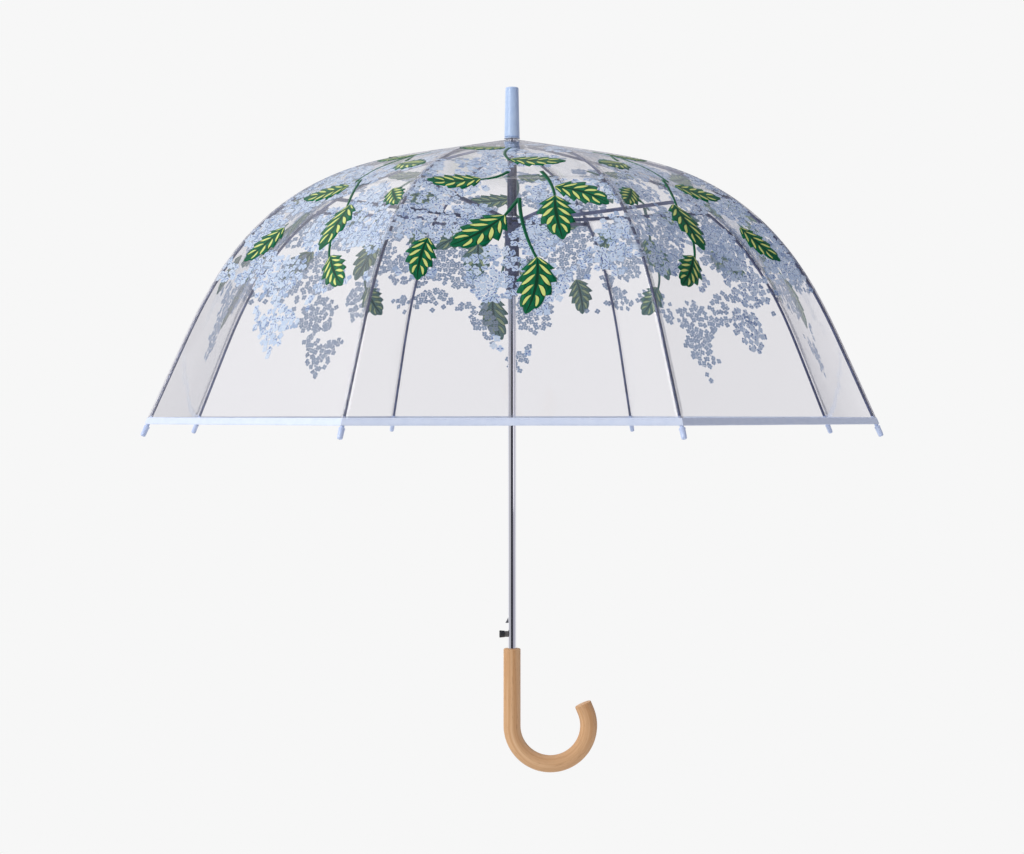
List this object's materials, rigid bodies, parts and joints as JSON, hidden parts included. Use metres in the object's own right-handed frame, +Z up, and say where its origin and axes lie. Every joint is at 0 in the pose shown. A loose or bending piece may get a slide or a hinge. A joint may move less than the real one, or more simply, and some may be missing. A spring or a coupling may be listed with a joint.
{
  "type": "umbrella",
  "caption": "Open clear-film dome umbrella with a floral print, folding ribs and stretchers, sprung runner, push-button catch and a wooden crook handle.",
  "frame": {"origin": "on the shaft's axis, at the top face of the handle", "axes": "+Z up the shaft to the finial, +X towards the open side of the crook, the push button on -X, the canopy's front panel facing -Y"},
  "size_m": [0.833, 0.833, 0.8285],
  "materials": {
    "clear_film": "clear vinyl film, glossy, with a printed blue hydrangea and green leaf pattern over the upper part and a pale blue edge binding",
    "painted_steel": "dark blue-grey enamel on spring steel",
    "chrome_tube": "polished chrome plate",
    "beech": "steam-bent beech, satin lacquer",
    "blue_resin": "moulded pale blue plastic, satin",
    "dark_resin": "moulded dark navy plastic",
    "black_resin": "moulded black plastic",
    "spring_steel": "dark oiled spring wire",
    "steel_wire": "bright drawn wire"
  },
  "bodies": {
    "shaft_body": {"shaft": "chrome_tube", "handle": "beech", "finial": "blue_resin", "crown_washer": "blue_resin", "crown_notch": "dark_resin", "crown_wire": "steel_wire", "stop_pin": "steel_wire", "main_spring": "spring_steel"},
    "runner_body": {"runner": "dark_resin", "runner_wire": "steel_wire"},
    "button_body": {"push_button": "black_resin"},
    "catch_body": {"runner_catch": "steel_wire"},
    "upper_rib_1": {"rib_upper_1": "painted_steel"},
    "lower_rib_1": {"rib_lower_1": "painted_steel", "rib_tip_1": "blue_resin"},
    "stretcher_body_1": {"stretcher_1": "painted_steel"},
    "upper_film_1": {"canopy_upper_1": "clear_film"},
    "lower_film_1": {"canopy_lower_1": "clear_film"},
    "upper_rib_2": {"rib_upper_2": "painted_steel"},
    "lower_rib_2": {"rib_lower_2": "painted_steel", "rib_tip_2": "blue_resin"},
    "stretcher_body_2": {"stretcher_2": "painted_steel"},
    "upper_film_2": {"canopy_upper_2": "clear_film"},
    "lower_film_2": {"canopy_lower_2": "clear_film"},
    "upper_rib_3": {"rib_upper_3": "painted_steel"},
    "lower_rib_3": {"rib_lower_3": "painted_steel", "rib_tip_3": "blue_resin"},
    "stretcher_body_3": {"stretcher_3": "painted_steel"},
    "upper_film_3": {"canopy_upper_3": "clear_film"},
    "lower_film_3": {"canopy_lower_3": "clear_film"},
    "upper_rib_4": {"rib_upper_4": "painted_steel"},
    "lower_rib_4": {"rib_lower_4": "painted_steel", "rib_tip_4": "blue_resin"},
    "stretcher_body_4": {"stretcher_4": "painted_steel"},
    "upper_film_4": {"canopy_upper_4": "clear_film"},
    "lower_film_4": {"canopy_lower_4": "clear_film"},
    "upper_rib_5": {"rib_upper_5": "painted_steel"},
    "lower_rib_5": {"rib_lower_5": "painted_steel", "rib_tip_5": "blue_resin"},
    "stretcher_body_5": {"stretcher_5": "painted_steel"},
    "upper_film_5": {"canopy_upper_5": "clear_film"},
    "lower_film_5": {"canopy_lower_5": "clear_film"},
    "upper_rib_6": {"rib_upper_6": "painted_steel"},
    "lower_rib_6": {"rib_lower_6": "painted_steel", "rib_tip_6": "blue_resin"},
    "stretcher_body_6": {"stretcher_6": "painted_steel"},
    "upper_film_6": {"canopy_upper_6": "clear_film"},
    "lower_film_6": {"canopy_lower_6": "clear_film"},
    "upper_rib_7": {"rib_upper_7": "painted_steel"},
    "lower_rib_7": {"rib_lower_7": "painted_steel", "rib_tip_7": "blue_resin"},
    "stretcher_body_7": {"stretcher_7": "painted_steel"},
    "upper_film_7": {"canopy_upper_7": "clear_film"},
    "lower_film_7": {"canopy_lower_7": "clear_film"},
    "upper_rib_8": {"rib_upper_8": "painted_steel"},
    "lower_rib_8": {"rib_lower_8": "painted_steel", "rib_tip_8": "blue_resin"},
    "stretcher_body_8": {"stretcher_8": "painted_steel"},
    "upper_film_8": {"canopy_upper_8": "clear_film"},
    "lower_film_8": {"canopy_lower_8": "clear_film"}
  },
  "joints": [
    {"name": "runner_slide", "type": "slide", "parent": "shaft_body", "child": "runner_body", "axis": [0, 0, 1], "range_m": [-0.41432, 0], "stiffness_N_per_m": 95, "springref_m": 0.126, "deforming": ["main_spring", "runner_catch"]},
    {"name": "button_press", "type": "slide", "parent": "shaft_body", "child": "button_body", "axis": [1, 0, 0], "range_m": [0, 0.0032], "stiffness_N_per_m": 600, "springref_m": -0.002},
    {"name": "catch_release", "type": "slide", "parent": "shaft_body", "child": "catch_body", "axis": [1, 0, 0], "range_m": [0, 0.0032]},
    {"name": "upper_rib_1_pivot", "type": "hinge", "parent": "shaft_body", "child": "upper_rib_1", "pos_m": [0.01155, 0.00478, 0.6095], "axis": [-0.3827, 0.9239, 0], "range_deg": [0, 66.75]},
    {"name": "lower_rib_1_flex", "type": "hinge", "parent": "upper_rib_1", "child": "lower_rib_1", "pos_m": [0.24258, 0.10048, 0.53722], "axis": [-0.3827, 0.9239, 0], "range_deg": [-29.06, 0]},
    {"name": "stretcher_1_pivot", "type": "hinge", "parent": "runner_body", "child": "stretcher_body_1", "pos_m": [0.00956, 0.00829, 0.5163], "axis": [-0.3827, 0.9239, 0], "range_deg": [-77.74, 0]},
    {"name": "upper_film_1_fold", "type": "hinge", "parent": "upper_rib_1", "child": "upper_film_1", "pos_m": [-0.18874, -0.18874, 0.43896], "axis": [-0.6042, -0.6042, -0.5196], "range_deg": [0, 48.63], "deforming": ["canopy_upper_1"]},
    {"name": "lower_film_1_fold", "type": "hinge", "parent": "lower_rib_1", "child": "lower_film_1", "pos_m": [-0.16296, -0.16296, 0.73067], "axis": [-0.6744, -0.6744, -0.3008], "range_deg": [0, 28.46], "deforming": ["canopy_lower_1"]},
    {"name": "upper_rib_2_pivot", "type": "hinge", "parent": "shaft_body", "child": "upper_rib_2", "pos_m": [0.00478, 0.01155, 0.6095], "axis": [-0.9239, 0.3827, 0], "range_deg": [0, 66.75]},
    {"name": "lower_rib_2_flex", "type": "hinge", "parent": "upper_rib_2", "child": "lower_rib_2", "pos_m": [0.10048, 0.24258, 0.53722], "axis": [-0.9239, 0.3827, 0], "range_deg": [-29.06, 0]},
    {"name": "stretcher_2_pivot", "type": "hinge", "parent": "runner_body", "child": "stretcher_body_2", "pos_m": [0.0009, 0.01262, 0.5163], "axis": [-0.9239, 0.3827, 0], "range_deg": [-77.74, 0]},
    {"name": "upper_film_2_fold", "type": "hinge", "parent": "upper_rib_2", "child": "upper_film_2", "pos_m": [0, -0.26693, 0.43896], "axis": [0, -0.8544, -0.5196], "range_deg": [0, 48.63], "deforming": ["canopy_upper_2"]},
    {"name": "lower_film_2_fold", "type": "hinge", "parent": "lower_rib_2", "child": "lower_film_2", "pos_m": [0, -0.23046, 0.73067], "axis": [0, -0.9537, -0.3008], "range_deg": [0, 28.46], "deforming": ["canopy_lower_2"]},
    {"name": "upper_rib_3_pivot", "type": "hinge", "parent": "shaft_body", "child": "upper_rib_3", "pos_m": [-0.00478, 0.01155, 0.6095], "axis": [-0.9239, -0.3827, 0], "range_deg": [0, 66.75]},
    {"name": "lower_rib_3_flex", "type": "hinge", "parent": "upper_rib_3", "child": "lower_rib_3", "pos_m": [-0.10048, 0.24258, 0.53722], "axis": [-0.9239, -0.3827, 0], "range_deg": [-29.06, 0]},
    {"name": "stretcher_3_pivot", "type": "hinge", "parent": "runner_body", "child": "stretcher_body_3", "pos_m": [-0.00829, 0.00956, 0.5163], "axis": [-0.9239, -0.3827, 0], "range_deg": [-77.74, 0]},
    {"name": "upper_film_3_fold", "type": "hinge", "parent": "upper_rib_3", "child": "upper_film_3", "pos_m": [0.18874, -0.18874, 0.43896], "axis": [0.6042, -0.6042, -0.5196], "range_deg": [0, 48.63], "deforming": ["canopy_upper_3"]},
    {"name": "lower_film_3_fold", "type": "hinge", "parent": "lower_rib_3", "child": "lower_film_3", "pos_m": [0.16296, -0.16296, 0.73067], "axis": [0.6744, -0.6744, -0.3008], "range_deg": [0, 28.46], "deforming": ["canopy_lower_3"]},
    {"name": "upper_rib_4_pivot", "type": "hinge", "parent": "shaft_body", "child": "upper_rib_4", "pos_m": [-0.01155, 0.00478, 0.6095], "axis": [-0.3827, -0.9239, 0], "range_deg": [0, 66.75]},
    {"name": "lower_rib_4_flex", "type": "hinge", "parent": "upper_rib_4", "child": "lower_rib_4", "pos_m": [-0.24258, 0.10048, 0.53722], "axis": [-0.3827, -0.9239, 0], "range_deg": [-29.06, 0]},
    {"name": "stretcher_4_pivot", "type": "hinge", "parent": "runner_body", "child": "stretcher_body_4", "pos_m": [-0.01262, 0.0009, 0.5163], "axis": [-0.3827, -0.9239, 0], "range_deg": [-77.74, 0]},
    {"name": "upper_film_4_fold", "type": "hinge", "parent": "upper_rib_4", "child": "upper_film_4", "pos_m": [0.26693, 0, 0.43896], "axis": [0.8544, 0, -0.5196], "range_deg": [0, 48.63], "deforming": ["canopy_upper_4"]},
    {"name": "lower_film_4_fold", "type": "hinge", "parent": "lower_rib_4", "child": "lower_film_4", "pos_m": [0.23046, 0, 0.73067], "axis": [0.9537, 0, -0.3008], "range_deg": [0, 28.46], "deforming": ["canopy_lower_4"]},
    {"name": "upper_rib_5_pivot", "type": "hinge", "parent": "shaft_body", "child": "upper_rib_5", "pos_m": [-0.01155, -0.00478, 0.6095], "axis": [0.3827, -0.9239, 0], "range_deg": [0, 66.75]},
    {"name": "lower_rib_5_flex", "type": "hinge", "parent": "upper_rib_5", "child": "lower_rib_5", "pos_m": [-0.24258, -0.10048, 0.53722], "axis": [0.3827, -0.9239, 0], "range_deg": [-29.06, 0]},
    {"name": "stretcher_5_pivot", "type": "hinge", "parent": "runner_body", "child": "stretcher_body_5", "pos_m": [-0.00956, -0.00829, 0.5163], "axis": [0.3827, -0.9239, 0], "range_deg": [-77.74, 0]},
    {"name": "upper_film_5_fold", "type": "hinge", "parent": "upper_rib_5", "child": "upper_film_5", "pos_m": [0.18874, 0.18874, 0.43896], "axis": [0.6042, 0.6042, -0.5196], "range_deg": [0, 48.63], "deforming": ["canopy_upper_5"]},
    {"name": "lower_film_5_fold", "type": "hinge", "parent": "lower_rib_5", "child": "lower_film_5", "pos_m": [0.16296, 0.16296, 0.73067], "axis": [0.6744, 0.6744, -0.3008], "range_deg": [0, 28.46], "deforming": ["canopy_lower_5"]},
    {"name": "upper_rib_6_pivot", "type": "hinge", "parent": "shaft_body", "child": "upper_rib_6", "pos_m": [-0.00478, -0.01155, 0.6095], "axis": [0.9239, -0.3827, 0], "range_deg": [0, 66.75]},
    {"name": "lower_rib_6_flex", "type": "hinge", "parent": "upper_rib_6", "child": "lower_rib_6", "pos_m": [-0.10048, -0.24258, 0.53722], "axis": [0.9239, -0.3827, 0], "range_deg": [-29.06, 0]},
    {"name": "stretcher_6_pivot", "type": "hinge", "parent": "runner_body", "child": "stretcher_body_6", "pos_m": [-0.0009, -0.01262, 0.5163], "axis": [0.9239, -0.3827, 0], "range_deg": [-77.74, 0]},
    {"name": "upper_film_6_fold", "type": "hinge", "parent": "upper_rib_6", "child": "upper_film_6", "pos_m": [0, 0.26693, 0.43896], "axis": [0, 0.8544, -0.5196], "range_deg": [0, 48.63], "deforming": ["canopy_upper_6"]},
    {"name": "lower_film_6_fold", "type": "hinge", "parent": "lower_rib_6", "child": "lower_film_6", "pos_m": [0, 0.23046, 0.73067], "axis": [0, 0.9537, -0.3008], "range_deg": [0, 28.46], "deforming": ["canopy_lower_6"]},
    {"name": "upper_rib_7_pivot", "type": "hinge", "parent": "shaft_body", "child": "upper_rib_7", "pos_m": [0.00478, -0.01155, 0.6095], "axis": [0.9239, 0.3827, 0], "range_deg": [0, 66.75]},
    {"name": "lower_rib_7_flex", "type": "hinge", "parent": "upper_rib_7", "child": "lower_rib_7", "pos_m": [0.10048, -0.24258, 0.53722], "axis": [0.9239, 0.3827, 0], "range_deg": [-29.06, 0]},
    {"name": "stretcher_7_pivot", "type": "hinge", "parent": "runner_body", "child": "stretcher_body_7", "pos_m": [0.00829, -0.00956, 0.5163], "axis": [0.9239, 0.3827, 0], "range_deg": [-77.74, 0]},
    {"name": "upper_film_7_fold", "type": "hinge", "parent": "upper_rib_7", "child": "upper_film_7", "pos_m": [-0.18874, 0.18874, 0.43896], "axis": [-0.6042, 0.6042, -0.5196], "range_deg": [0, 48.63], "deforming": ["canopy_upper_7"]},
    {"name": "lower_film_7_fold", "type": "hinge", "parent": "lower_rib_7", "child": "lower_film_7", "pos_m": [-0.16296, 0.16296, 0.73067], "axis": [-0.6744, 0.6744, -0.3008], "range_deg": [0, 28.46], "deforming": ["canopy_lower_7"]},
    {"name": "upper_rib_8_pivot", "type": "hinge", "parent": "shaft_body", "child": "upper_rib_8", "pos_m": [0.01155, -0.00478, 0.6095], "axis": [0.3827, 0.9239, 0], "range_deg": [0, 66.75]},
    {"name": "lower_rib_8_flex", "type": "hinge", "parent": "upper_rib_8", "child": "lower_rib_8", "pos_m": [0.24258, -0.10048, 0.53722], "axis": [0.3827, 0.9239, 0], "range_deg": [-29.06, 0]},
    {"name": "stretcher_8_pivot", "type": "hinge", "parent": "runner_body", "child": "stretcher_body_8", "pos_m": [0.01262, -0.0009, 0.5163], "axis": [0.3827, 0.9239, 0], "range_deg": [-77.74, 0]},
    {"name": "upper_film_8_fold", "type": "hinge", "parent": "upper_rib_8", "child": "upper_film_8", "pos_m": [-0.26693, 0, 0.43896], "axis": [-0.8544, 0, -0.5196], "range_deg": [0, 48.63], "deforming": ["canopy_upper_8"]},
    {"name": "lower_film_8_fold", "type": "hinge", "parent": "lower_rib_8", "child": "lower_film_8", "pos_m": [-0.23046, 0, 0.73067], "axis": [-0.9537, 0, -0.3008], "range_deg": [0, 28.46], "deforming": ["canopy_lower_8"]}
  ],
  "couplings": [
    {"joint": "catch_release", "follows": "button_press", "ratio": 1},
    {"joint": "upper_rib_1_pivot", "follows": "runner_slide", "rad_per_m": -2.81},
    {"joint": "lower_rib_1_flex", "follows": "runner_slide", "rad_per_m": 1.2219},
    {"joint": "stretcher_1_pivot", "follows": "runner_slide", "rad_per_m": 3.2726},
    {"joint": "upper_film_1_fold", "follows": "runner_slide", "rad_per_m": -2.0465},
    {"joint": "lower_film_1_fold", "follows": "runner_slide", "rad_per_m": -1.1967},
    {"joint": "upper_rib_2_pivot", "follows": "runner_slide", "rad_per_m": -2.81},
    {"joint": "lower_rib_2_flex", "follows": "runner_slide", "rad_per_m": 1.2219},
    {"joint": "stretcher_2_pivot", "follows": "runner_slide", "rad_per_m": 3.2726},
    {"joint": "upper_film_2_fold", "follows": "runner_slide", "rad_per_m": -2.0465},
    {"joint": "lower_film_2_fold", "follows": "runner_slide", "rad_per_m": -1.1967},
    {"joint": "upper_rib_3_pivot", "follows": "runner_slide", "rad_per_m": -2.81},
    {"joint": "lower_rib_3_flex", "follows": "runner_slide", "rad_per_m": 1.2219},
    {"joint": "stretcher_3_pivot", "follows": "runner_slide", "rad_per_m": 3.2726},
    {"joint": "upper_film_3_fold", "follows": "runner_slide", "rad_per_m": -2.0465},
    {"joint": "lower_film_3_fold", "follows": "runner_slide", "rad_per_m": -1.1967},
    {"joint": "upper_rib_4_pivot", "follows": "runner_slide", "rad_per_m": -2.81},
    {"joint": "lower_rib_4_flex", "follows": "runner_slide", "rad_per_m": 1.2219},
    {"joint": "stretcher_4_pivot", "follows": "runner_slide", "rad_per_m": 3.2726},
    {"joint": "upper_film_4_fold", "follows": "runner_slide", "rad_per_m": -2.0465},
    {"joint": "lower_film_4_fold", "follows": "runner_slide", "rad_per_m": -1.1967},
    {"joint": "upper_rib_5_pivot", "follows": "runner_slide", "rad_per_m": -2.81},
    {"joint": "lower_rib_5_flex", "follows": "runner_slide", "rad_per_m": 1.2219},
    {"joint": "stretcher_5_pivot", "follows": "runner_slide", "rad_per_m": 3.2726},
    {"joint": "upper_film_5_fold", "follows": "runner_slide", "rad_per_m": -2.0465},
    {"joint": "lower_film_5_fold", "follows": "runner_slide", "rad_per_m": -1.1967},
    {"joint": "upper_rib_6_pivot", "follows": "runner_slide", "rad_per_m": -2.81},
    {"joint": "lower_rib_6_flex", "follows": "runner_slide", "rad_per_m": 1.2219},
    {"joint": "stretcher_6_pivot", "follows": "runner_slide", "rad_per_m": 3.2726},
    {"joint": "upper_film_6_fold", "follows": "runner_slide", "rad_per_m": -2.0465},
    {"joint": "lower_film_6_fold", "follows": "runner_slide", "rad_per_m": -1.1967},
    {"joint": "upper_rib_7_pivot", "follows": "runner_slide", "rad_per_m": -2.81},
    {"joint": "lower_rib_7_flex", "follows": "runner_slide", "rad_per_m": 1.2219},
    {"joint": "stretcher_7_pivot", "follows": "runner_slide", "rad_per_m": 3.2726},
    {"joint": "upper_film_7_fold", "follows": "runner_slide", "rad_per_m": -2.0465},
    {"joint": "lower_film_7_fold", "follows": "runner_slide", "rad_per_m": -1.1967},
    {"joint": "upper_rib_8_pivot", "follows": "runner_slide", "rad_per_m": -2.81},
    {"joint": "lower_rib_8_flex", "follows": "runner_slide", "rad_per_m": 1.2219},
    {"joint": "stretcher_8_pivot", "follows": "runner_slide", "rad_per_m": 3.2726},
    {"joint": "upper_film_8_fold", "follows": "runner_slide", "rad_per_m": -2.0465},
    {"joint": "lower_film_8_fold", "follows": "runner_slide", "rad_per_m": -1.1967}
  ]
}
